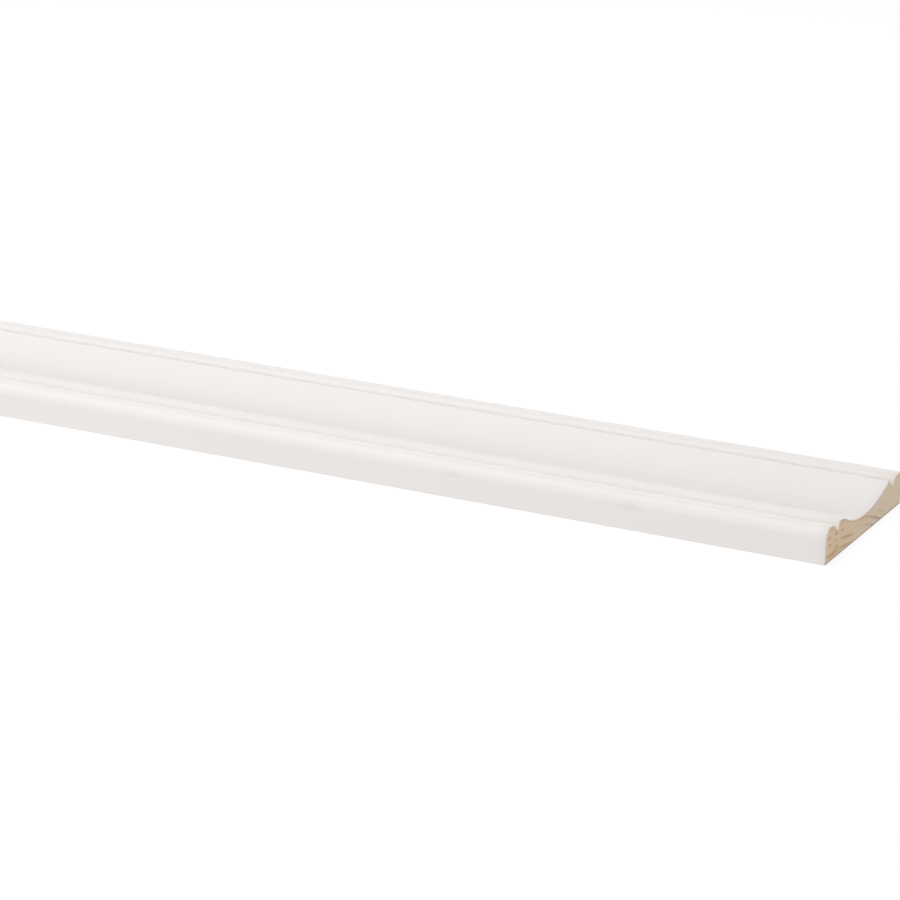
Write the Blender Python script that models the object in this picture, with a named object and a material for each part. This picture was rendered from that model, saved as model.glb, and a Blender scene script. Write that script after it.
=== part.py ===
"""A length of primed softwood moulding, cut square at both ends.

It lies on its flat back and runs along X, centred on the origin, with its underside at Z = 0.
Its face, from the thick front edge at -Y to the far edge at +Y, is a bead, a narrow quirk, a flat
fillet, a wide hollow called a cove, a narrow land, a second quirk, and a flat margin with a rounded nose.
Units are metres.
"""

import math

import bpy
from mathutils import Vector

# The whole stick
LENGTH = 0.550
WIDTH = 0.095
THICKNESS = 0.0175

# The bead along the front edge: a nose, a crown, and a fall to the first quirk
NOSE_RADIUS = 0.0060
BEAD_WIDTH = 0.0142
NEAR_QUIRK_DEPTH = 0.0041
NEAR_QUIRK_FLOOR = 0.0009
NEAR_QUIRK_SLOPE = 0.0019

# The flat fillet between the first quirk and the cove
FILLET_WIDTH = 0.0078
FILLET_DROP = 0.0019

# The cove, which takes the width that the other members leave
COVE_DEPTH = 0.0058
COVE_NEAR_RUN = 0.0227

# The land beyond the cove, and the second quirk
LAND_WIDTH = 0.0018
LAND_DROP = 0.0013
FAR_QUIRK_SLOPE = 0.0030
FAR_QUIRK_FLOOR = 0.0018

# The margin along the far edge, with its rounded nose
MARGIN_WIDTH = 0.0100
MARGIN_DROP = 0.0010
MARGIN_NOSE_DROP = 0.0033
MARGIN_NOSE_RUN = 0.0045

# How far the arrises are eased
BACK_ARRIS = 0.0004
FAR_ARRIS = 0.0007
FACE_ARRIS = 0.0003

# Steps of the wide arcs, of the noses, and of an eased arris
COVE_STEPS = 24
NOSE_STEPS = 12
ARRIS_STEPS = 3

# The primer's finish
PRIMER_COLOUR = (0.87, 0.84, 0.82, 1.0)
PRIMER_ROUGHNESS = 0.55


def clear_scene():
    """Remove every object of the scene."""
    for obj in list(bpy.data.objects):
        bpy.data.objects.remove(obj, do_unlink=True)


def level_arc(level, end, steps):
    """Points of the arc that is level at one point and ends at the other, without the level point."""
    run = end[0] - level[0]
    rise = end[1] - level[1]
    turn = 2 * math.atan(rise / run)
    radius = (run * run + rise * rise) / (2 * rise)
    points = []
    for step in range(1, steps + 1):
        angle = turn * step / steps
        across = level[0] + radius * math.sin(angle)
        up = level[1] + radius * (1 - math.cos(angle))
        points.append((across, up))
    return points


def eased_corner(before, corner, after, radius):
    """Points of the arc that eases a corner, kept within half of each side that meets there."""
    tip = Vector(corner)
    back = Vector(before) - tip
    ahead = Vector(after) - tip
    half_angle = back.angle(ahead) / 2
    reach = min(radius / math.tan(half_angle), back.length / 2, ahead.length / 2)
    start = tip + back.normalized() * reach
    finish = tip + ahead.normalized() * reach
    middle = (back.normalized() + ahead.normalized()).normalized()
    centre = tip + middle * (reach / math.cos(half_angle))
    first = start - centre
    sweep = math.atan2(first.cross(finish - centre), first.dot(finish - centre))
    points = []
    for step in range(ARRIS_STEPS + 1):
        angle = sweep * step / ARRIS_STEPS
        across = first.x * math.cos(angle) - first.y * math.sin(angle)
        up = first.x * math.sin(angle) + first.y * math.cos(angle)
        points.append((centre.x + across, centre.y + up))
    return points


def ease_corners(marked):
    """A closed outline from (point, radius) pairs, with an arc at each point that has a radius."""
    outline = []
    for index, (corner, radius) in enumerate(marked):
        if radius == 0:
            outline.append(corner)
        else:
            before = marked[index - 1][0]
            after = marked[(index + 1) % len(marked)][0]
            outline += eased_corner(before, corner, after, radius)
    return outline


def smooth(points):
    """Mark points as lying on a curve, where no corner is eased."""
    return [(point, 0) for point in points]


def moulding_outline():
    """The profile as (across, up) points: across from the front edge, up from the back."""
    crown = (NOSE_RADIUS, THICKNESS)
    bead_foot = (BEAD_WIDTH, THICKNESS - NEAR_QUIRK_DEPTH)
    riser_foot = (BEAD_WIDTH + NEAR_QUIRK_FLOOR, bead_foot[1])
    fillet_start = (riser_foot[0] + NEAR_QUIRK_SLOPE, THICKNESS - FILLET_DROP)
    fillet_end = (fillet_start[0] + FILLET_WIDTH, fillet_start[1])
    cove_low = (fillet_end[0] + COVE_NEAR_RUN, fillet_end[1] - COVE_DEPTH)

    margin_top = THICKNESS - MARGIN_DROP
    margin_foot = (WIDTH - MARGIN_WIDTH, margin_top - MARGIN_NOSE_DROP)
    margin_crown = (margin_foot[0] + MARGIN_NOSE_RUN, margin_top)
    slope_foot = (margin_foot[0] - FAR_QUIRK_FLOOR, margin_foot[1])
    land_end = (slope_foot[0] - FAR_QUIRK_SLOPE, THICKNESS - LAND_DROP)
    land_start = (land_end[0] - LAND_WIDTH, land_end[1])

    nose = level_arc(crown, (0, THICKNESS - NOSE_RADIUS), NOSE_STEPS)
    bead_fall = level_arc(crown, bead_foot, NOSE_STEPS)
    cove_near = level_arc(cove_low, fillet_end, COVE_STEPS)
    cove_far = level_arc(cove_low, land_start, COVE_STEPS)
    margin_nose = level_arc(margin_crown, margin_foot, NOSE_STEPS)

    marked = [((0, 0), BACK_ARRIS)]
    marked += smooth(reversed(nose))
    marked += smooth([crown])
    marked += smooth(bead_fall[:-1])
    marked += [(bead_foot, FACE_ARRIS), (riser_foot, FACE_ARRIS)]
    marked += [(fillet_start, FACE_ARRIS), (fillet_end, FACE_ARRIS)]
    marked += smooth(reversed(cove_near[:-1]))
    marked += smooth([cove_low])
    marked += smooth(cove_far[:-1])
    marked += [(land_start, FACE_ARRIS), (land_end, FACE_ARRIS)]
    marked += [(slope_foot, FACE_ARRIS), (margin_foot, FACE_ARRIS)]
    marked += smooth(reversed(margin_nose[:-1]))
    marked += smooth([margin_crown])
    marked += [((WIDTH, margin_top), FAR_ARRIS), ((WIDTH, 0), BACK_ARRIS)]
    return ease_corners(marked)


def primer_material():
    """White primer on wood."""
    material = bpy.data.materials.new("primer")
    material.use_nodes = True
    shader = material.node_tree.nodes["Principled BSDF"]
    shader.inputs["Base Color"].default_value = PRIMER_COLOUR
    shader.inputs["Roughness"].default_value = PRIMER_ROUGHNESS
    shader.inputs["Metallic"].default_value = 0.0
    return material


def make_moulding(collection):
    """The stick: its outline, extruded half its length to each side of the middle."""
    curve = bpy.data.curves.new("moulding", "CURVE")
    curve.dimensions = "2D"
    curve.fill_mode = "BOTH"
    curve.extrude = LENGTH / 2
    outline = moulding_outline()
    spline = curve.splines.new("POLY")
    spline.points.add(len(outline) - 1)
    for point, (across, up) in zip(spline.points, outline):
        point.co = (across - WIDTH / 2, up, 0, 1)
    spline.use_cyclic_u = True
    curve.materials.append(primer_material())

    moulding = bpy.data.objects.new("moulding", curve)
    # The outline's own X, Y and thickness turn to the world's Y, Z and X.
    moulding.rotation_euler = (math.radians(90), 0, math.radians(90))
    collection.objects.link(moulding)
    return moulding


def main():
    clear_scene()
    collection = bpy.data.collections.new("decorative moulding")
    bpy.context.scene.collection.children.link(collection)
    make_moulding(collection)


main()
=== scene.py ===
# %% [markdown]
# # A length of primed moulding
#
# The object is one stick of softwood. A moulding machine has planed a profile along its face, a spray
# booth has primed that face and both long edges white, and a saw has cut it square across. So there are
# three finishes on one piece of wood: the primer, the sawn end grain, and the bare planed back.
#
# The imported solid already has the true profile. This lesson reads the outline from it, runs it along the
# stick again with more points, breaks the sawn arrises a little, and gives each surface its finish.

import math

import bmesh
import bpy
import numpy as np
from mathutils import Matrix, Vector, geometry, noise


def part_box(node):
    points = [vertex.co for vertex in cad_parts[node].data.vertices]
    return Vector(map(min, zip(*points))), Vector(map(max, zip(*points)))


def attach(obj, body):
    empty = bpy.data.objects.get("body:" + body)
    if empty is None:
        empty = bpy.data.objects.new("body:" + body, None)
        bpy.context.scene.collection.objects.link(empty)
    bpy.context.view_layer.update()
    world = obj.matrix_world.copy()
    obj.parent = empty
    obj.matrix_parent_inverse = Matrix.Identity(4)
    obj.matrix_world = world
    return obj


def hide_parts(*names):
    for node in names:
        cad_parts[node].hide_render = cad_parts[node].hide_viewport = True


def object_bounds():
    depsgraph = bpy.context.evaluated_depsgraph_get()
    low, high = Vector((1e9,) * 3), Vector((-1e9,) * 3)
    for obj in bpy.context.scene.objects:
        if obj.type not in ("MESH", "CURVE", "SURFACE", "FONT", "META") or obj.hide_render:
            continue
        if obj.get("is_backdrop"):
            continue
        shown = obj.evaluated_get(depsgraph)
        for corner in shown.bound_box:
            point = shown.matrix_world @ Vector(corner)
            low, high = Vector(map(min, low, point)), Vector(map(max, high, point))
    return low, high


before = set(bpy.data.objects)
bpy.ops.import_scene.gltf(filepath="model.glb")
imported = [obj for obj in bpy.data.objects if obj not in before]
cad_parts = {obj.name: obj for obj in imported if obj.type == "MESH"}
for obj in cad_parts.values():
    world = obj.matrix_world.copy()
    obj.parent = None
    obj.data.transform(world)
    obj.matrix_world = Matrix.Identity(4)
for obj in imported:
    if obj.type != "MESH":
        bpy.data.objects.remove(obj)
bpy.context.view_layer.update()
LOW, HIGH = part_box("moulding")
LENGTH = HIGH.x - LOW.x
print("the stick measures", [round(1000 * side, 2) for side in HIGH - LOW], "mm")

# %% [markdown]
# ## The camera
#
# The stick lies level, and the photograph's two vanishing points give the lens and the direction of view.
# The lower near corner of the sawn end is the sharpest point in the picture, so the camera is placed by
# it: that corner has to fall on its own pixel, at the distance that gives the stick its real width.

# %% Place the camera by the corner of the sawn end
PHOTO_SIDE = 900
CORNER_PIXEL = (824.6, 566.2)
FOCAL_PIXELS = 3636
CORNER_DISTANCE = 1.672
AZIMUTH = math.radians(27.91)
ELEVATION = math.radians(19.34)
SENSOR = 36.0


def place_camera(corner):
    """A camera that sees the corner at its own pixel of the photograph."""
    rightward = Vector((math.cos(AZIMUTH), math.sin(AZIMUTH), 0))
    level = Vector((-math.sin(AZIMUTH), math.cos(AZIMUTH), 0))
    forward = level * math.cos(ELEVATION) - Vector((0, 0, math.sin(ELEVATION)))
    upward = level * math.sin(ELEVATION) + Vector((0, 0, math.cos(ELEVATION)))
    right_of_middle = (CORNER_PIXEL[0] - PHOTO_SIDE / 2) / FOCAL_PIXELS * CORNER_DISTANCE
    below_middle = (CORNER_PIXEL[1] - PHOTO_SIDE / 2) / FOCAL_PIXELS * CORNER_DISTANCE
    camera = bpy.data.objects.new("camera", bpy.data.cameras.new("camera"))
    camera.data.lens = SENSOR * FOCAL_PIXELS / PHOTO_SIDE
    camera.data.sensor_width = SENSOR
    abreast = corner - rightward * right_of_middle + upward * below_middle
    camera.location = abreast - forward * CORNER_DISTANCE
    camera.rotation_euler = (math.pi / 2 - ELEVATION, 0, AZIMUTH)
    bpy.context.scene.collection.objects.link(camera)
    bpy.context.scene.camera = camera
    return camera


camera = place_camera(Vector((HIGH.x, LOW.y, LOW.z)))
print("lens", round(camera.data.lens, 1), "mm, camera at", [round(place, 3) for place in camera.location])

# %% [markdown]
# ## Shader maths in plain Python
#
# A finish is a recipe of nodes, and so is the light of a room. Written one node at a time it's long and
# hard to read, so a Wire stands for one output of a node, and Python's own signs on it add the Math
# nodes. Anything else comes from one method, add, which takes the kind of node, its settings, and the
# values or wires of its sockets. The same two classes build the Geometry Nodes further down.

# %% Define the wires and the nodes between them
class Wire:
    """One output of a node, which plus, minus, times and divide work on."""

    def __init__(self, nodes, socket):
        self.nodes = nodes
        self.socket = socket

    def __add__(self, other):
        return self.nodes.math("ADD", self, other)

    def __sub__(self, other):
        return self.nodes.math("SUBTRACT", self, other)

    def __rsub__(self, other):
        return self.nodes.math("SUBTRACT", other, self)

    def __mul__(self, other):
        return self.nodes.math("MULTIPLY", self, other)

    def __truediv__(self, other):
        return self.nodes.math("DIVIDE", self, other)

    __radd__ = __add__
    __rmul__ = __mul__


class Nodes:
    """A node tree that grows one node at a time."""

    def __init__(self, tree):
        self.tree = tree

    def add(self, kind, settings, values, output=0):
        """One node: its settings come first, then the values or wires of its sockets. Gives one output."""
        node = self.tree.nodes.new(kind)
        for name, setting in settings.items():
            if name == "stops":
                self.set_stops(node.color_ramp, setting)
            else:
                setattr(node, name, setting)
        for name, value in values.items():
            if isinstance(value, Wire):
                self.tree.links.new(value.socket, node.inputs[name])
            else:
                node.inputs[name].default_value = value
        return Wire(self, node.outputs[output]) if node.outputs else None

    def set_stops(self, ramp, stops):
        """Give a colour ramp its stops, as (place, grey) pairs."""
        while len(ramp.elements) < len(stops):
            ramp.elements.new(1.0)
        for element, (place, grey) in zip(ramp.elements, stops):
            element.position = place
            element.color = (grey, grey, grey, 1)

    def math(self, operation, *values):
        """A Math node of any kind, for what the signs can't say."""
        return self.add("ShaderNodeMath", {"operation": operation}, dict(enumerate(values)))

# %% [markdown]
# A recipe adds what the finishes of this stick share: noise stretched along the grain, smooth steps,
# colours mixed by a share, and patches. Each is worked out from the place on the piece, so a finish stays
# on its piece however that piece is turned.

# %% Define the recipe of a finish
class Recipe(Nodes):
    """The nodes of a material or of the world. Place is the piece's own coordinates, or the direction."""

    def __init__(self, owner, place):
        self.owner = owner
        self.owner.use_nodes = True
        super().__init__(self.owner.node_tree)
        self.tree.nodes.clear()
        self.place = self.add("ShaderNodeTexCoord", {}, {}, place)

    def stretch(self, scales):
        """The place on the piece, multiplied along each axis."""
        return self.add("ShaderNodeVectorMath", {"operation": "MULTIPLY"}, {0: self.place, 1: scales})

    def noise(self, scales, detail=2.0):
        """Noise from 0 to 1 about one half, with its own scale along each axis, in features per metre."""
        values = {"Vector": self.stretch(scales), "Scale": 1.0, "Detail": detail}
        return self.add("ShaderNodeTexNoise", {}, values)

    def step(self, value, start, end):
        """0 below start, 1 above end, and a smooth rise between them."""
        values = {"Value": value, "From Min": start, "From Max": end}
        return self.add("ShaderNodeMapRange", {"interpolation_type": "SMOOTHSTEP"}, values)

    def ramp(self, value, stops):
        """A grey for each value from 0 to 1, by way of the stops."""
        return self.add("ShaderNodeValToRGB", {"stops": stops}, {"Fac": value})

    def mix(self, share, first, second):
        """A colour between two, or one of them where the share is 0 or 1."""
        settings = {"data_type": "RGBA"}
        return self.add("ShaderNodeMix", settings, {0: share, 6: first, 7: second}, 2)

    def shade(self, colour, tone):
        """A colour made lighter or darker by a tone that is 1 where nothing changes."""
        return self.add("ShaderNodeVectorMath", {"operation": "SCALE"}, {0: colour, "Scale": tone})

    def axis(self, name):
        """How far along X, Y or Z the place is."""
        return self.add("ShaderNodeSeparateXYZ", {}, {0: self.place}, name)

    def patch(self, ellipse, edge):
        """1 in the middle of an ellipse and 0 outside it. Each of its axes has a middle and a reach."""
        total = 0.0
        for name, (middle, reach) in ellipse.items():
            share = (self.axis(name) - middle) / reach
            total = share * share + total
        return 1 - self.step(self.math("SQRT", total), edge, 1.0)

    def measure(self, name):
        """A number that the mesh carries at each vertex."""
        return self.add("ShaderNodeAttribute", {"attribute_name": name}, {}, "Fac")

    def finish(self, colour, roughness, height, gloss):
        """Close the recipe with a Principled shader. Height is in metres."""
        normal = self.add("ShaderNodeBump", {}, {"Strength": 1.0, "Distance": 1.0, "Height": height})
        values = {"Base Color": colour, "Roughness": roughness, "Normal": normal}
        values["Specular IOR Level"] = gloss
        shader = self.add("ShaderNodeBsdfPrincipled", {}, values)
        self.add("ShaderNodeOutputMaterial", {}, {"Surface": shader})
        return self.owner


def new_finish(name):
    """The recipe of a new material, worked out in the piece's own coordinates."""
    return Recipe(bpy.data.materials.new(name), "Object")

# %% [markdown]
# ## Floor and light
#
# The photograph is a catalogue picture: white on white, with hardly a shadow. A pale floor that glows
# from within does that, as a light table does. One wide lamp hangs overhead and a low one stands in
# front, both a little to the left, so the far end is brighter. The flats of the moulding are brighter
# than the bottom of its cove, though both lie level. So part of the light comes in low, also from a long
# strip of sky behind the stick, and the cove's edges keep it out.

# %% Make the floor, the room and the lamps
FLOOR_SIDE = 14.0
FLOOR_GAP = 0.0002
FLOOR_GREY = 0.18
FLOOR_GLOW = 0.87
FLOOR_ROUGHNESS = 0.9
# Lamps aimed at the stick: where they hang, how wide and how high they are, and watts
LAMPS = {
    "overhead lamp": ((-0.27, -0.15, 1.90), 1.3, 1.3, 27.0),
    "front lamp": ((-0.55, -1.25, 0.32), 1.5, 0.26, 4.4),
}
# The room's light, and the strip of sky with its top and its soft edges in degrees over the horizon
ROOM_STRENGTH = 0.36
STRIP_STRENGTH = 5.6
STRIP_TOP = 10.0
STRIP_EDGE = 1.5


def make_floor():
    """A wide pale floor, a hair below the stick, that glows a little."""
    bpy.ops.mesh.primitive_plane_add(size=FLOOR_SIDE, location=(0, 0, LOW.z - FLOOR_GAP))
    floor = bpy.context.object
    floor.name = "floor"
    material = bpy.data.materials.new("pale floor")
    material.use_nodes = True
    shader = material.node_tree.nodes["Principled BSDF"]
    shader.inputs["Base Color"].default_value = (FLOOR_GREY, FLOOR_GREY, FLOOR_GREY, 1)
    shader.inputs["Roughness"].default_value = FLOOR_ROUGHNESS
    shader.inputs["Specular IOR Level"].default_value = 0.0
    shader.inputs["Emission Color"].default_value = (1, 1, 1, 1)
    shader.inputs["Emission Strength"].default_value = FLOOR_GLOW
    floor.data.materials.append(material)
    floor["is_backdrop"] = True
    return floor


def light_room():
    """A dim room with a long strip of sky low behind the stick, and the lamps."""
    room = Recipe(bpy.data.worlds.new("room"), "Generated")
    degrees = room.math("ARCTAN2", room.axis("Z"), room.axis("Y")) * (180 / math.pi)
    strip = room.step(degrees, -STRIP_EDGE, STRIP_EDGE)
    strip = strip * (1 - room.step(degrees, STRIP_TOP - STRIP_EDGE, STRIP_TOP + STRIP_EDGE))
    sky = room.add("ShaderNodeBackground", {}, {"Strength": ROOM_STRENGTH + strip * STRIP_STRENGTH})
    room.add("ShaderNodeOutputWorld", {}, {"Surface": sky})
    bpy.context.scene.world = room.owner
    for name, (place, width, height, watts) in LAMPS.items():
        lamp = bpy.data.objects.new(name, bpy.data.lights.new(name, "AREA"))
        lamp.data.shape = "RECTANGLE"
        lamp.data.size = width
        lamp.data.size_y = height
        lamp.data.energy = watts
        lamp.location = place
        lamp.rotation_euler = (-Vector(place)).to_track_quat("-Z", "Y").to_euler()
        bpy.context.scene.collection.objects.link(lamp)
    bpy.context.scene.view_settings.view_transform = "Standard"


floor = make_floor()
light_room()
print("the", floor.name, "is", FLOOR_SIDE, "m wide, and the lamps are the", " and the ".join(LAMPS))

# %% [markdown]
# ## The outline
#
# A moulding is a drawing run along a line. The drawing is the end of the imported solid: the edges where
# its end face meets its sides. Walking round them gives the points in order. Long edges get points in
# between, because smooth shading otherwise spreads the roundness of an eased arris over the whole flat
# beside it.

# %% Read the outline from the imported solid's end
MERGE = 1e-6
FACING = 0.99
OUTLINE_STEP = 0.0008


def end_edges(mesh, reach):
    """The edges around the end face at x = reach, as a table of each vertex's two neighbours."""
    neighbours = {}
    for edge in mesh.edges:
        if all(abs(vertex.co.x - reach) < MERGE for vertex in edge.verts):
            ends = [face for face in edge.link_faces if abs(face.normal.x) > FACING]
            if len(ends) == 1:
                first, second = edge.verts
                neighbours.setdefault(first, []).append(second)
                neighbours.setdefault(second, []).append(first)
    return neighbours


def walk_outline(node, reach):
    """The (y, z) points around the end of a CAD node, from its lower front arris along the back first."""
    mesh = bmesh.new()
    mesh.from_mesh(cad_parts[node].data)
    bmesh.ops.remove_doubles(mesh, verts=mesh.verts, dist=MERGE)
    mesh.normal_update()
    neighbours = end_edges(mesh, reach)
    on_back = [vertex for vertex in neighbours if vertex.co.z - LOW.z < MERGE]
    start = min(on_back, key=lambda vertex: vertex.co.y)
    walk = [start, max(neighbours[start], key=lambda vertex: vertex.co.y)]
    while walk[-1] is not start:
        ways = [vertex for vertex in neighbours[walk[-1]] if vertex is not walk[-2]]
        walk.append(ways[0])
    points = [(vertex.co.y, vertex.co.z) for vertex in walk[:-1]]
    mesh.free()
    return points


def fill_in(points, longest):
    """The same closed outline with points added on its longer sides."""
    filled = []
    for index, here in enumerate(points):
        after = points[(index + 1) % len(points)]
        parts = max(1, math.ceil(math.dist(here, after) / longest))
        for part in range(parts):
            share = part / parts
            across = here[0] + share * (after[0] - here[0])
            filled.append((across, here[1] + share * (after[1] - here[1])))
    return np.array(filled)


corners = walk_outline("moulding", HIGH.x)
outline = fill_in(corners, OUTLINE_STEP)
print(len(corners), "points on the packed outline,", len(outline), "on the finished one")

# %% [markdown]
# ## What the primer does on the outline
#
# Primer and dust gather in the quirks, and shade falls there too, painted in as a creamier, darker tone.
# The primer is thin on the sharp arrises. Both depend on the outline alone, so each of its points gets two
# numbers. Shelter is how high the wood rises on both sides of the point. Sharpness is how far the outline
# turns outwards within a millimetre. The finished mesh repeats them along the stick.

# %% Measure shelter and sharpness round the outline
SHELTER_REACH = 0.008
SHARP_REACH = 0.0005


def measure_shelter(points):
    """How high the lower of each point's two sides rises over it, from 0 for none to 1 for upright."""
    shelter = np.zeros(len(points))
    face = points[:, 1] > LOW.z + MERGE
    for index in np.flatnonzero(face):
        across = points[:, 0] - points[index, 0]
        up = points[:, 1] - points[index, 1]
        rises = []
        for side in (-1, 1):
            near = (side * across > MERGE) & (side * across < SHELTER_REACH)
            angles = np.arctan2(up[near], side * across[near])
            rises.append(max(0.0, angles.max(initial=0.0)))
        shelter[index] = min(rises) / (math.pi / 2)
    return shelter


def measure_sharpness(points):
    """How far the outline turns outwards near each point, from 0 for level to 1 for a right angle."""
    sides = np.roll(points, -1, axis=0) - points
    lengths = np.hypot(sides[:, 0], sides[:, 1])
    headings = np.arctan2(sides[:, 1], sides[:, 0])
    turns = (headings - np.roll(headings, 1) + math.pi) % (2 * math.pi) - math.pi
    along = np.concatenate([[0], np.cumsum(lengths)[:-1]])
    total = lengths.sum()
    sharpness = np.zeros(len(points))
    for index in range(len(points)):
        apart = np.abs(along - along[index])
        apart = np.minimum(apart, total - apart)
        sharpness[index] = turns[apart < SHARP_REACH].sum() / (math.pi / 2)
    return np.clip(sharpness, 0, 1)


shelter = measure_shelter(outline)
sharpness = measure_sharpness(outline)
print("most shelter", round(shelter.max(), 2), "and most sharpness", round(sharpness.max(), 2))

# %% [markdown]
# ## The wood under every finish
#
# Growth rings are tubes around the tree's pith, and this stick was sawn from beside it. One rule for the
# distance from the pith therefore gives the arcs on the sawn end, the long lines on the back, and the
# faint ridges that show through the primer, and they all meet at the arrises. In the photograph the arcs
# are nearly 4 mm apart, and their middle lies 150 mm below the back, straight under the thick edge. They
# are truer there than further along, where they wander.

# %% Define the growth rings
PITH_BELOW = 0.150
PITH_DRIFT = 0.045
RING_SPACING = 0.003775
# The rings' wander: metres at the right end, more for each metre to the left of it, and features per metre
RING_WANDER = 0.0016
RING_BEND = 0.014
RING_SCALES = (2.5, 17, 17)
# Greys from spring wood, which is pale, to the last summer wood, which is dark and ends sharply
SUMMER_WOOD = ((0.0, 0.0), (0.45, 0.05), (0.74, 0.42), (0.90, 1.0), (0.975, 1.0), (1.0, 0.0))


def summer_wood(recipe):
    """1 where the wood grew at the end of a summer, and 0 where it grew in spring."""
    from_end = recipe.axis("X") - HIGH.x
    across = recipe.axis("Y") - LOW.y - from_end * PITH_DRIFT
    up = recipe.axis("Z") - (LOW.z - PITH_BELOW)
    wander = (recipe.noise(RING_SCALES) - 0.5) * (RING_WANDER - from_end * RING_BEND)
    radius = recipe.math("SQRT", across * across + up * up) + wander
    year = recipe.math("FRACT", radius / RING_SPACING)
    return recipe.ramp(year, SUMMER_WOOD)


rings_crossed = (math.hypot(HIGH.y - LOW.y, PITH_BELOW) - PITH_BELOW) / RING_SPACING
print("about", round(rings_crossed), "rings cross the back")

# %% [markdown]
# ## White primer
#
# The photograph shows a warm, matt white. It is a good coat, so the grain is no more than a hint of lines
# along the stick. It is creamier and darker in the quirks, partly where it pools and partly as painted
# shade, and creamy where it is thin on the sharp arrises. Sap has yellowed the fillet and the margin beside
# the right end. Two small resin spots have bled through on the thick edge, and a few darker dashes lie in
# the far quirk. A plain white would lose all of that, and a picture of paint would not meet the real
# arrises.

# %% Mix the primer
PRIMER_WHITE = (0.882, 0.848, 0.827, 1)
PRIMER_GRAIN = (0.866, 0.829, 0.804, 1)
PRIMER_CREAM = (0.835, 0.787, 0.738, 1)
PRIMER_STAIN = (0.62, 0.54, 0.42, 1)
PRIMER_SAP = (0.840, 0.780, 0.670, 1)
# Sap beside the right end: across from the thick edge and reach, and how far it runs along the stick
SAP_SPOTS = ((0.0175, 0.0070), (0.0870, 0.0055))
SAP_LENGTH = 0.014
# Resin spots on the thick edge: place along the stick, height over the back, radius
RESIN_SPOTS = ((0.081, 0.0126, 0.0026), (0.176, 0.0122, 0.0034))
# How far across the resin spots reach, and where they have faded out
FRONT_REACH = 0.002
FRONT_END = 0.004
# Dashes in the far quirk: where along the stick, their fade, and how far from the thin edge they reach
DASHES_START = -0.200
DASHES_END = -0.118
DASHES_FADE = 0.020
DASHES_WIDTH = 0.020
DASHES_EDGE = 0.002
# Relief in metres, and gloss
GRAIN_RELIEF = 0.6e-5
STREAK_RELIEF = 0.5e-5
PEEL_RELIEF = 0.9e-5
PRIMER_GLOSS = 0.22


def resin_spots(recipe):
    """1 at the middle of each resin spot and 0 outside them, drawn out along the grain."""
    stain = 0.0
    for along, up, radius in RESIN_SPOTS:
        stain = recipe.patch({"X": (along, 3 * radius), "Z": (up, radius)}, 0.0) + stain
    front = 1 - recipe.step(recipe.axis("Y"), LOW.y + FRONT_REACH, LOW.y + FRONT_END)
    return stain * front


def quirk_dashes(recipe):
    """1 in the darker dashes along the far quirk, towards the left of the stick."""
    along = recipe.axis("X")
    near_side = HIGH.y - DASHES_WIDTH
    inside = recipe.step(along, DASHES_START, DASHES_START + DASHES_FADE)
    inside = inside * (1 - recipe.step(along, DASHES_END - DASHES_FADE, DASHES_END))
    inside = inside * recipe.step(recipe.axis("Y"), near_side, near_side + DASHES_EDGE)
    return inside * recipe.step(recipe.noise((130, 90, 90), 1.0), 0.50, 0.58)


def mix_primer():
    """The primer on the moulded face and the long edges."""
    recipe = new_finish("white primer")
    grain = summer_wood(recipe)
    streaks = recipe.noise((10, 1300, 1300), 3.0)
    peel = recipe.noise((620, 900, 900), 2.0)
    clouds = recipe.noise((7, 26, 26), 2.0)
    quirk = recipe.step(recipe.measure("shelter"), 0.34, 0.68)
    thin = recipe.step(recipe.measure("sharpness") * (0.5 + recipe.noise((55, 300, 300))), 0.25, 0.95)
    colour = recipe.mix(grain * (0.2 + 0.5 * clouds), PRIMER_WHITE, PRIMER_GRAIN)
    # Creamier and darker in the quirks: partly primer pooled there, partly painted shade in the creases.
    colour = recipe.mix(quirk * recipe.noise((38, 60, 60)) * 0.4, colour, PRIMER_CREAM)
    colour = recipe.mix(thin * 0.30, colour, PRIMER_CREAM)
    colour = recipe.mix(quirk * quirk_dashes(recipe) * 0.40, colour, PRIMER_STAIN)
    for across, reach in SAP_SPOTS:
        sap = recipe.patch({"X": (HIGH.x, SAP_LENGTH), "Y": (LOW.y + across, reach)}, 0.1)
        colour = recipe.mix(sap * 0.6, colour, PRIMER_SAP)
    colour = recipe.mix(resin_spots(recipe) * 0.15, colour, PRIMER_STAIN)
    colour = recipe.shade(colour, 0.985 + 0.020 * clouds + 0.010 * streaks)
    height = grain * GRAIN_RELIEF + streaks * STREAK_RELIEF + peel * PEEL_RELIEF
    roughness = 0.52 + 0.10 * peel + 0.05 * streaks
    return recipe.finish(colour, roughness, height, PRIMER_GLOSS)


primer = mix_primer()
print("the primer has", len(primer.node_tree.nodes), "nodes")

# %% [markdown]
# ## Sawn end grain
#
# A saw has torn the soft spring wood and left the harder summer wood a little proud. The wood is
# orange-brown near the thick edge, with a resinous patch low in the corner, and yellower towards the thin
# one. The rings show as arcs in some places only, and under the bead they are torn into rows of short
# dots. The paint film is a thin pale line round the painted outline, with a narrow band of painted shade
# just inside it. It has soaked a little way into the end beside the thick edge, and it is dusty and greyish
# under the cove's far wall. Along the foot the wood is darker: painted shade at the bottom arris, with
# some rough, bruised fibres.
#
# The dots and the place of each arc belong to the end in the photograph. The other end can't be seen, so
# its rings show faintly all over. The mesh of each end carries its distance from the painted outline,
# called rim, and a number called chip where the film has broken away.

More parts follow.
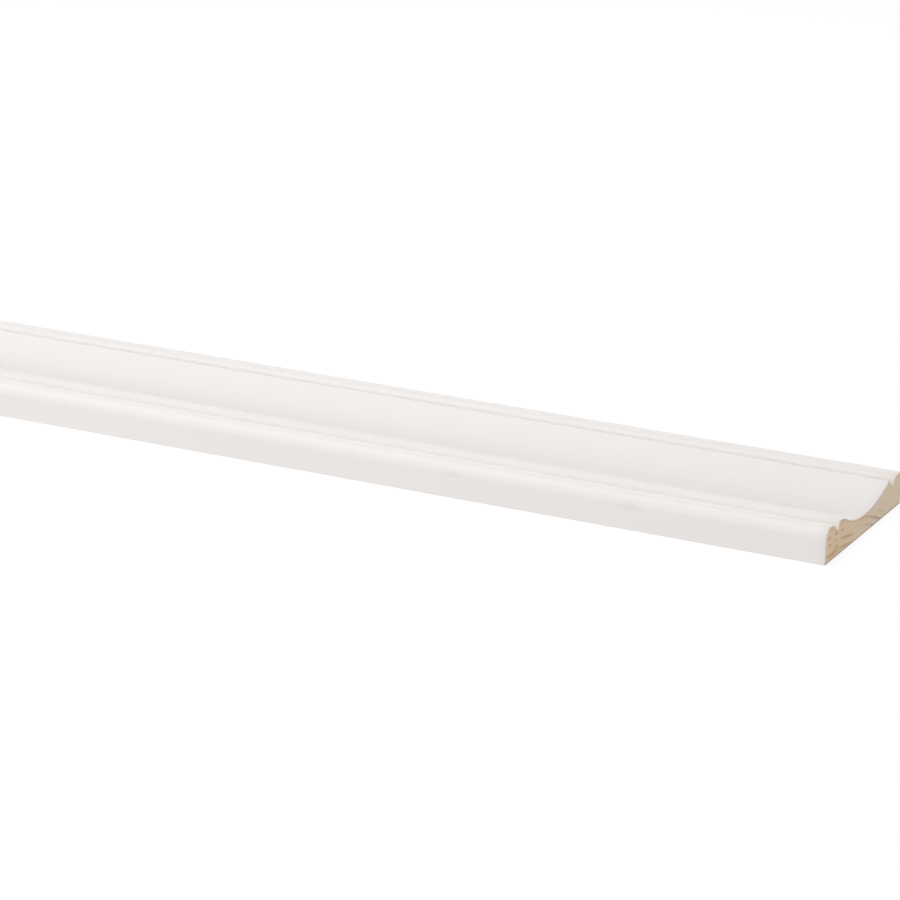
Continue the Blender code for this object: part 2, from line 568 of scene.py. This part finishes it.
# %% Cut the end grain
SPRING_NEAR = (0.735, 0.550, 0.382, 1)
SPRING_FAR = (0.710, 0.585, 0.430, 1)
SUMMER_NEAR = (0.400, 0.255, 0.150, 1)
SUMMER_FAR = (0.450, 0.330, 0.215, 1)
CHIPPED_WOOD = (0.520, 0.450, 0.330, 1)
DUSTY_WOOD = (0.700, 0.575, 0.540, 1)
RESINOUS_WOOD = (0.560, 0.350, 0.180, 1)
SOAKED_WOOD = (0.840, 0.795, 0.670, 1)
# The orange-brown wood turns yellower between these distances from the thick and the thin edge
ORANGE_REACH = 0.010
YELLOW_REACH = 0.015
# Places on a sawn end: across from the thick edge, height over the back, and both reaches
SHOWN_RINGS = (
    (0.0670, 0.0022, 0.0100, 0.0050),
    (0.0560, 0.0036, 0.0130, 0.0050),
    (0.0470, 0.0082, 0.0130, 0.0032),
    (0.0285, 0.0058, 0.0085, 0.0030),
    (0.0260, 0.0022, 0.0130, 0.0026),
)
RESIN_PATCH = (0.0110, 0.0030, 0.0110, 0.0021)
DUST_PATCH = (0.0660, 0.0110, 0.0180, 0.0070)
# The dots: across from the thick edge and height over the back, and the reaches that they share
RING_DOTS = (
    (0.0070, 0.0154), (0.0134, 0.0116), (0.0205, 0.0112), (0.0204, 0.0071),
    (0.0052, 0.0120), (0.0129, 0.0084), (0.0060, 0.0081), (0.0030, 0.0034),
    (0.0140, 0.0050), (0.0250, 0.0065), (0.0290, 0.0057), (0.0330, 0.0047),
)
DOT_REACH = (0.0030, 0.0008)
# How strongly the rings show outside those places, and all over the other end
FAINT_RINGS = 0.06
OTHER_RINGS = 0.45
# Half the stretch, at the stick's middle, over which one end's rings give way to the other's
CHANGE_OVER = 0.001
# The paint film, and the primer soaked in beside it: how deep, over what height, and how far across
FILM_WIDTH = 0.00038
SOAK_REACH = 0.0036
SOAK_HEIGHTS = (0.001, 0.005)
SOAK_ACROSS = (0.004, 0.009)
FOOT_HEIGHT = 0.0009
FOOT_RAGGED = 0.0006
# The round blade: its radius, its middle across the end, its teeth's marks and how far they stray
BLADE_RADIUS = 0.150
BLADE_MIDDLE = 0.012
TOOTH_PITCH = 0.00115
TOOTH_STRAY = 0.002
# Relief in metres, and gloss
RING_RELIEF = 3.0e-5
PORE_RELIEF = 3.0e-5
TOOTH_RELIEF = 1.2e-5
FILM_RELIEF = 2.0e-5
END_GLOSS = 0.20


def saw_marks(recipe):
    """A wave across the end, along the arcs that the teeth of a round blade leave."""
    across = recipe.axis("Y") - BLADE_MIDDLE
    up = recipe.axis("Z") - BLADE_RADIUS
    radius = recipe.math("SQRT", across * across + up * up) + recipe.noise((0, 30, 30)) * TOOTH_STRAY
    return 0.5 + 0.5 * recipe.math("SINE", radius * (2 * math.pi / TOOTH_PITCH))


def end_patch(recipe, across, up, width, height, edge):
    """1 in an ellipse on a sawn end, placed from the thick edge and over the back."""
    return recipe.patch({"Y": (LOW.y + across, width), "Z": (LOW.z + up, height)}, edge)


def shown_rings(recipe, summer):
    """How dark the summer wood shows on a sawn end: in arcs, and in dots where it's torn."""
    shown = FAINT_RINGS
    for place in SHOWN_RINGS:
        shown = end_patch(recipe, *place, 0.4) * 0.75 + shown
    dots = 0.0
    for place in RING_DOTS:
        dots = end_patch(recipe, *place, *DOT_REACH, 0.3) + dots
    broken = recipe.step(recipe.noise((150, 230, 230), 3.0), 0.36, 0.56)
    dots = dots * (0.35 + 0.65 * recipe.step(recipe.noise((300, 900, 900)), 0.38, 0.55))
    photographed = recipe.step(recipe.axis("X"), -CHANGE_OVER, CHANGE_OVER)
    shown = OTHER_RINGS + photographed * (shown - OTHER_RINGS)
    arcs = summer * shown * (0.45 + 0.55 * broken)
    return recipe.math("MAXIMUM", arcs, dots * photographed * 0.85)


def bare_wood(recipe, summer):
    """The colours of the sawn wood: from orange-brown to yellow, with resin and the rings."""
    away = recipe.step(recipe.axis("Y"), LOW.y + ORANGE_REACH, HIGH.y - YELLOW_REACH)
    spring = recipe.mix(away, SPRING_NEAR, SPRING_FAR)
    dark = recipe.mix(away, SUMMER_NEAR, SUMMER_FAR)
    resin = end_patch(recipe, *RESIN_PATCH, 0.3) * recipe.step(recipe.noise((120, 300, 300)), 0.30, 0.55)
    wood = recipe.mix(resin * 0.8, spring, RESINOUS_WOOD)
    return recipe.mix(shown_rings(recipe, summer), wood, dark)


def beside_film(recipe, wood, rim, pores):
    """The wood with dust under the cove's far wall, and with primer soaked in beside the thick edge."""
    dust = end_patch(recipe, *DUST_PATCH, 0.6) * (1 - recipe.step(rim, 5 * FILM_WIDTH, 9 * FILM_WIDTH))
    wood = recipe.mix(dust * (0.3 + 1.0 * pores), wood, DUSTY_WOOD)
    low, high = SOAK_HEIGHTS
    soaked = (1 - recipe.step(rim, 0.0, SOAK_REACH)) * recipe.step(recipe.axis("Z"), low, high)
    start, end = SOAK_ACROSS
    soaked = soaked * (1 - recipe.step(recipe.axis("Y"), LOW.y + start, LOW.y + end))
    return recipe.mix(soaked * (0.35 + 0.50 * pores), wood, SOAKED_WOOD)


def cut_end_grain():
    """The sawn ends, with the paint film's edge around them."""
    recipe = new_finish("sawn end grain")
    summer = summer_wood(recipe)
    pores = recipe.noise((900, 3600, 3600), 2.0)
    marks = saw_marks(recipe)
    rim = recipe.measure("rim")
    chip = recipe.measure("chip")
    wood = beside_film(recipe, bare_wood(recipe, summer), rim, pores)
    wood = recipe.mix(recipe.step(chip, 0.1, 0.6), wood, CHIPPED_WOOD)
    # Darker along the foot: painted shade at the bottom arris, with some rough, bruised fibres.
    foot_shade_and_fibres = 1 - recipe.step(recipe.axis("Z") - pores * FOOT_RAGGED, LOW.z, LOW.z + FOOT_HEIGHT)
    # Darker in a narrow band just inside the paint film: painted shade along the sawn outline.
    rim_shade = 1 - recipe.step(rim, FILM_WIDTH, 5 * FILM_WIDTH)
    wood = recipe.shade(wood, 0.90 + 0.20 * pores - 0.05 * marks - 0.38 * foot_shade_and_fibres - 0.12 * rim_shade)
    ragged = rim + (pores - 0.5) * (1.2 * FILM_WIDTH)
    film = 1 - recipe.step(ragged, 0.7 * FILM_WIDTH, 1.3 * FILM_WIDTH)
    film = film * (1 - recipe.step(chip, 0.1, 0.5))
    colour = recipe.mix(film * 0.9, wood, PRIMER_CREAM)
    height = summer * RING_RELIEF + pores * PORE_RELIEF + marks * TOOTH_RELIEF + film * FILM_RELIEF
    return recipe.finish(colour, 0.80 - 0.12 * summer, height, END_GLOSS)


end_grain = cut_end_grain()
print("the end grain has", len(end_grain.node_tree.nodes), "nodes")

# %% [markdown]
# ## The planed back
#
# The photograph doesn't show the back. Such sticks are primed on the face and edges only, so the back is
# bare softwood off the planer: long ring lines, fine fibres, the cutter's shallow ripple, and a little
# primer that has crept round both arrises.

# %% Plane the back
BACK_SPRING = (0.760, 0.610, 0.425, 1)
BACK_SUMMER = (0.560, 0.380, 0.215, 1)
CREEP_WIDTH = 0.0022
RIPPLE_PITCH = 0.0019
# Relief in metres, and gloss
BACK_RELIEF = 1.2e-5
FIBRE_RELIEF = 1.0e-5
RIPPLE_RELIEF = 0.3e-5
BACK_GLOSS = 0.30


def plane_back():
    """The bare back, with primer crept over its long arrises."""
    recipe = new_finish("planed back")
    summer = summer_wood(recipe)
    fibres = recipe.noise((16, 2400, 2400), 3.0)
    clouds = recipe.noise((5, 24, 24), 2.0)
    ripple = 0.5 + 0.5 * recipe.math("SINE", recipe.axis("X") * (2 * math.pi / RIPPLE_PITCH))
    wood = recipe.mix(summer * (0.5 + 0.4 * clouds), BACK_SPRING, BACK_SUMMER)
    wood = recipe.shade(wood, 0.86 + 0.18 * fibres + 0.10 * clouds)
    inset = (HIGH.y - LOW.y) / 2 - recipe.math("ABSOLUTE", recipe.axis("Y"))
    ragged = inset + (recipe.noise((70, 260, 0), 3.0) - 0.5) * (1.8 * CREEP_WIDTH)
    creep = 1 - recipe.step(ragged, 0.35 * CREEP_WIDTH, 0.8 * CREEP_WIDTH)
    colour = recipe.mix(creep * 0.92, wood, PRIMER_CREAM)
    height = summer * BACK_RELIEF + fibres * FIBRE_RELIEF + ripple * RIPPLE_RELIEF
    return recipe.finish(colour, 0.62 - 0.08 * summer - 0.08 * creep, height, BACK_GLOSS)


planed_back = plane_back()
print("the back has", len(planed_back.node_tree.nodes), "nodes")

# %% [markdown]
# ## Running the moulding
#
# The machine pushes the stick past a shaped cutter, and a sweep does the same: Geometry Nodes carry the
# outline along a line. The outline goes in as a loop of edges, which the tree turns into the sweep's
# profile. The stick is never quite true, so the tree lets its face sink by up to a few hundredths of a
# millimetre, slowly along its length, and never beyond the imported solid.

# %% Build the sweep
BREAK = 0.00016
RING_STEP = 0.005
# The face's wander: how deep, its features per metre, and its seed
FACE_WANDER = 0.00006
FACE_SCALES = (12, 90, 90)
FACE_SEED = 4.0


def draw_profile():
    """The outline as a loop of edges in its own plane."""
    count = len(outline)
    mesh = bpy.data.meshes.new("moulding profile")
    loop = [(index, (index + 1) % count) for index in range(count)]
    mesh.from_pydata([(across, up, 0) for across, up in outline], loop, [])
    profile = bpy.data.objects.new("moulding profile", mesh)
    bpy.context.scene.collection.objects.link(profile)
    return profile


def name_inputs(tree):
    """Give a tree its named inputs and its one output, and return the identifier of each input."""
    kinds = {"Profile": "Geometry", "Length": "Float", "Rings": "Int", "Wander": "Float", "Seed": "Float"}
    kinds["Finish"] = "Material"
    names = {}
    for name, kind in kinds.items():
        socket = tree.interface.new_socket(name=name, in_out="INPUT", socket_type="NodeSocket" + kind)
        names[name] = socket.identifier
    tree.interface.new_socket(name="Moulding", in_out="OUTPUT", socket_type="NodeSocketGeometry")
    return names


def sweep(nodes, given):
    """The skin of a moulding: its profile run along a line on X, from end to end."""
    half = given["Length"] / 2.0
    start = nodes.add("ShaderNodeCombineXYZ", {}, {0: half * -1.0})
    end = nodes.add("ShaderNodeCombineXYZ", {}, {0: half})
    line = nodes.add("GeometryNodeCurvePrimitiveLine", {}, {"Start": start, "End": end})
    line = nodes.add("GeometryNodeResampleCurve", {}, {"Curve": line, "Count": given["Rings"]})
    # Without this half turn the sweep would lay the outline on its back.
    line = nodes.add("GeometryNodeSetCurveTilt", {}, {"Curve": line, "Tilt": math.pi})
    profile = nodes.add("GeometryNodeMeshToCurve", {}, {"Mesh": given["Profile"]})
    return nodes.add("GeometryNodeCurveToMesh", {}, {"Curve": line, "Profile Curve": profile})


def let_wander(nodes, skin, given):
    """The skin with its faces sunk by a slow, shallow wave."""
    place = nodes.add("GeometryNodeInputPosition", {}, {})
    slow = nodes.add("ShaderNodeVectorMath", {"operation": "MULTIPLY"}, {0: place, 1: FACE_SCALES})
    values = {"Vector": slow, "W": given["Seed"], "Scale": 1.0}
    wave = nodes.add("ShaderNodeTexNoise", {"noise_dimensions": "4D"}, values)
    inward = wave * given["Wander"] * -1.0
    normal = nodes.add("GeometryNodeInputNormal", {}, {})
    offset = nodes.add("ShaderNodeVectorMath", {"operation": "SCALE"}, {0: normal, "Scale": inward})
    return nodes.add("GeometryNodeSetPosition", {}, {"Geometry": skin, "Offset": offset})


def build_tree():
    """A tree that runs a profile along X, and the identifiers of its named inputs."""
    tree = bpy.data.node_groups.new("run a moulding", "GeometryNodeTree")
    names = name_inputs(tree)
    nodes = Nodes(tree)
    sockets = tree.nodes.new("NodeGroupInput").outputs
    given = {name: Wire(nodes, sockets[name]) for name in names}
    skin = let_wander(nodes, sweep(nodes, given), given)
    skin = nodes.add("GeometryNodeRealizeInstances", {}, {"Geometry": skin})
    skin = nodes.add("GeometryNodeSetMaterial", {}, {"Geometry": skin, "Material": given["Finish"]})
    nodes.add("NodeGroupOutput", {}, {"Moulding": skin})
    return tree, names


def run_moulding():
    """The open skin of the stick as a plain mesh, ring after ring of outline points."""
    profile = draw_profile()
    tree, names = build_tree()
    modifier = profile.modifiers.new("run a moulding", "NODES")
    modifier.node_group = tree
    values = {"Length": LENGTH - 2 * BREAK, "Rings": round(LENGTH / RING_STEP) + 1}
    values |= {"Wander": FACE_WANDER, "Seed": FACE_SEED, "Finish": primer}
    for name, value in values.items():
        modifier[names[name]] = value
    graph = bpy.context.evaluated_depsgraph_get()
    skin = bpy.data.meshes.new_from_object(profile.evaluated_get(graph))
    profile.modifiers.remove(modifier)
    bpy.data.objects.remove(profile, do_unlink=True)
    return skin


skin = run_moulding()
print("the open skin has", len(skin.vertices), "points in rings of", len(outline))

# %% [markdown]
# ## The sawn ends
#
# A saw leaves a flat face whose arrises are broken by a hair, with a few larger chips where the paint
# film tears. Each end is a flat sheet of small triangles inside the outline, shrunk by the width of the
# break, and a narrow strip joins it to the skin. The sheet is fine enough for the teeth's marks to be
# real relief.

# %% Find points for the ends
END_STEP = 0.00042
# The least distance of the inner points from the outline, as a share of their step
KEEP_OFF = 0.6


def shrink(points, amount):
    """The closed outline moved inwards by an amount."""
    ahead = np.roll(points, -1, axis=0) - points
    ahead /= np.hypot(ahead[:, 0], ahead[:, 1])[:, None]
    behind = np.roll(ahead, 1, axis=0)
    inward = np.column_stack([-(ahead + behind)[:, 1], (ahead + behind)[:, 0]])
    inward /= np.hypot(inward[:, 0], inward[:, 1])[:, None]
    return points + inward * amount


def distance_to(places, points, painted):
    """For each place, its distance to the chosen sides of the closed outline."""
    starts = points[painted]
    sides = np.roll(points, -1, axis=0)[painted] - starts
    nearest = np.full(len(places), np.inf)
    for start, side in zip(starts, sides):
        share = np.clip((places - start) @ side / (side @ side), 0, 1)
        nearest = np.minimum(nearest, np.linalg.norm(places - start - share[:, None] * side, axis=1))
    return nearest


def is_inside(places, points):
    """Which places lie inside the closed outline, by how often a line to the right crosses it."""
    inside = np.zeros(len(places), bool)
    for start, end in zip(points, np.roll(points, -1, axis=0)):
        spans = (start[1] > places[:, 1]) != (end[1] > places[:, 1])
        if start[1] != end[1]:
            crossing = start[0] + (places[:, 1] - start[1]) * (end[0] - start[0]) / (end[1] - start[1])
            inside ^= spans & (places[:, 0] < crossing)
    return inside


def fill_end(rim_points):
    """Triangles inside an outline, on staggered rows of points, and each point's distance to the paint."""
    row_step = END_STEP * math.sqrt(3) / 2
    rows = np.arange(LOW.z, HIGH.z, row_step)
    columns = np.arange(LOW.y, HIGH.y, END_STEP)
    across, up = np.meshgrid(columns, rows)
    across = across + (np.arange(len(rows)) % 2)[:, None] * END_STEP / 2
    places = np.column_stack([across.ravel(), up.ravel()])
    places = places[is_inside(places, rim_points)]
    everywhere = np.ones(len(rim_points), bool)
    places = places[distance_to(places, rim_points, everywhere) > END_STEP * KEEP_OFF]
    flat = [Vector(place) for place in np.vstack([rim_points, places])]
    loop = list(range(len(rim_points)))
    made = geometry.delaunay_2d_cdt(flat, [], [loop], 1, MERGE)
    points = np.array([tuple(place) for place in made[0]])
    painted = rim_points[:, 1] > LOW.z + 2 * BREAK
    return points, made[2], distance_to(points, rim_points, painted)


end_rim = shrink(outline, BREAK)
end_points, end_faces, end_distance = fill_end(end_rim)
print("each end has", len(end_points), "points and", len(end_faces), "triangles")

# %% [markdown]
# The ends differ only in the side they face and in how their arrises happened to break. Where a chip has
# come off, the skin stops short and the strip shows bare wood. The teeth's marks fade out near the
# outline, so the strip always meets the sheet exactly.

# %% Break the arrises and close the ends
FINISHES = {"primer": 0, "end grain": 1, "back": 2}
MARK_DEPTH = 0.00005
# Chips round each end: distance across from the thick edge, half width, depth along the stick
CHIPS = ((0.0205, 0.0042, 0.0009), (0.0790, 0.0009, 0.0006), (0.0930, 0.0012, 0.0004))
# They are on the moulded face only, so over this height
CHIPS_OVER = 0.008
# How fine the chips and the ragged arrises are, in features per metre, and what sets the two ends apart
CHIP_SCALES = (1100, 900)
CHIP_SEED = 9.0
RAGGED_SCALE = 700
RAGGED_SEED = 5.0
# The greatest turn between faces that are shaded as one, in degrees
SMOOTH_TURN = 38


def chip_depth(across, up, side):
    """How far a chip has bitten back from the end at a point of the outline, in metres."""
    depth = 0.0
    if up > LOW.z + CHIPS_OVER:
        for middle, half_width, most in CHIPS:
            share = (across - LOW.y - middle) / half_width
            if abs(share) < 1:
                place = Vector((across * CHIP_SCALES[0], up * CHIP_SCALES[1], side * CHIP_SEED))
                rough = 0.7 + 0.9 * noise.noise(place)
                depth = max(depth, most * (1 - share * share) * max(rough, 0.0))
    return depth


def ragged(across, up, side):
    """A small uneven step back all round a sawn arris, in metres."""
    place = Vector((across * RAGGED_SCALE, up * RAGGED_SCALE, side * RAGGED_SEED))
    return 0.5 * BREAK * (1 + noise.noise(place))


def mark_depth(points, distance):
    """The teeth's marks as depths below the end face, fading out at its outline."""
    radius = np.hypot(points[:, 0] - BLADE_MIDDLE, points[:, 1] - BLADE_RADIUS)
    wave = 0.5 + 0.5 * np.sin(radius * 2 * math.pi / TOOTH_PITCH)
    return MARK_DEPTH * wave * np.clip(distance / (2 * END_STEP), 0, 1)


def skin_faces():
    """The faces of the open skin, with the finish of each: bare wood on the back and primer elsewhere."""
    count = len(outline)
    on_back = outline[:, 1] < LOW.z + MERGE
    faces = [tuple(face.vertices) for face in skin.polygons]
    finishes = []
    for face in faces:
        bare = all(on_back[index % count] for index in face)
        finishes.append(FINISHES["back" if bare else "primer"])
    return faces, finishes


def close_end(first, sheet):
    """The faces that close one end: a strip from the skin's last ring to the sheet, and the sheet's own."""
    count = len(outline)
    faces = []
    for index in range(count):
        after = (index + 1) % count
        faces.append((first + index, first + after, sheet + after, sheet + index))
    for face in end_faces:
        faces.append(tuple(sheet + index for index in face))
    return faces


def close_stick():
    """The whole stick as one closed mesh: the skin, and at each end a strip and a sheet."""
    count = len(outline)
    places = np.array([tuple(vertex.co) for vertex in skin.vertices])
    faces, finishes = skin_faces()
    chips = np.zeros(len(places))
    rims = np.zeros(len(places))
    everywhere = np.ones(len(end_rim), bool)
    fade = distance_to(end_points, end_rim, everywhere)
    for side, first in ((-1, 0), (1, len(skin.vertices) - count)):
        for index, (across, up) in enumerate(outline, first):
            depth = chip_depth(across, up, side)
            chips[index] = depth / CHIPS[0][2]
            places[index, 0] -= side * (depth + ragged(across, up, side))
        closing = close_end(first, len(places))
        faces += closing
        finishes += [FINISHES["end grain"]] * len(closing)
        reach = side * (LENGTH / 2 - mark_depth(end_points, fade))
        places = np.vstack([places, np.column_stack([reach, end_points])])
        rims = np.concatenate([rims, end_distance])
        chips = np.concatenate([chips, chips[first:first + count], np.zeros(len(end_points) - count)])
    mesh = bpy.data.meshes.new("primed_moulding")
    mesh.from_pydata(places.tolist(), [], faces)
    mesh.polygons.foreach_set("material_index", finishes)
    carry_numbers(mesh, rims, chips)
    return mesh


def carry_numbers(mesh, rims, chips):
    """Store on each point what the finishes read there. Shelter and sharpness matter on the skin alone."""
    around = np.arange(len(skin.vertices)) % len(outline)
    on_ends = np.zeros(len(mesh.vertices) - len(skin.vertices))
    numbers = {"shelter": np.concatenate([shelter[around], on_ends])}
    numbers["sharpness"] = np.concatenate([sharpness[around], on_ends])
    numbers["rim"] = rims
    numbers["chip"] = np.clip(chips, 0, 1)
    for name, values in numbers.items():
        mesh.attributes.new(name, "FLOAT", "POINT").data.foreach_set("value", values.astype(np.float32))


def tidy_faces(mesh):
    """Turn every face outwards, and shade the stick smooth except over real arrises."""
    work = bmesh.new()
    work.from_mesh(mesh)
    bmesh.ops.recalc_face_normals(work, faces=work.faces)
    open_edges = [edge for edge in work.edges if not edge.is_manifold]
    work.to_mesh(mesh)
    volume = work.calc_volume()
    work.free()
    mesh.shade_smooth()
    mesh.set_sharp_from_angle(angle=math.radians(SMOOTH_TURN))
    return len(open_edges), volume


stick = close_stick()
gaps, volume = tidy_faces(stick)
for finish in (primer, end_grain, planed_back):
    stick.materials.append(finish)
triangles = sum(len(face.vertices) - 2 for face in stick.polygons)
print("the stick has", triangles, "triangles,", gaps, "open edges and", round(1000 * volume, 4), "litres")

# %% [markdown]
# ## Putting it in the frame
#
# The finished stick stands for the imported solid, which is hidden, and rides on its body. It has to stay
# inside the imported box, so its own box is measured.

# %% Hand the stick over
moulding = bpy.data.objects.new("primed_moulding", stick)
bpy.context.scene.collection.objects.link(moulding)
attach(moulding, "root")
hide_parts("moulding")
visual_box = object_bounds()
sides = visual_box[1] - visual_box[0]
print("the finished stick measures", [round(1000 * side, 2) for side in sides], "mm")
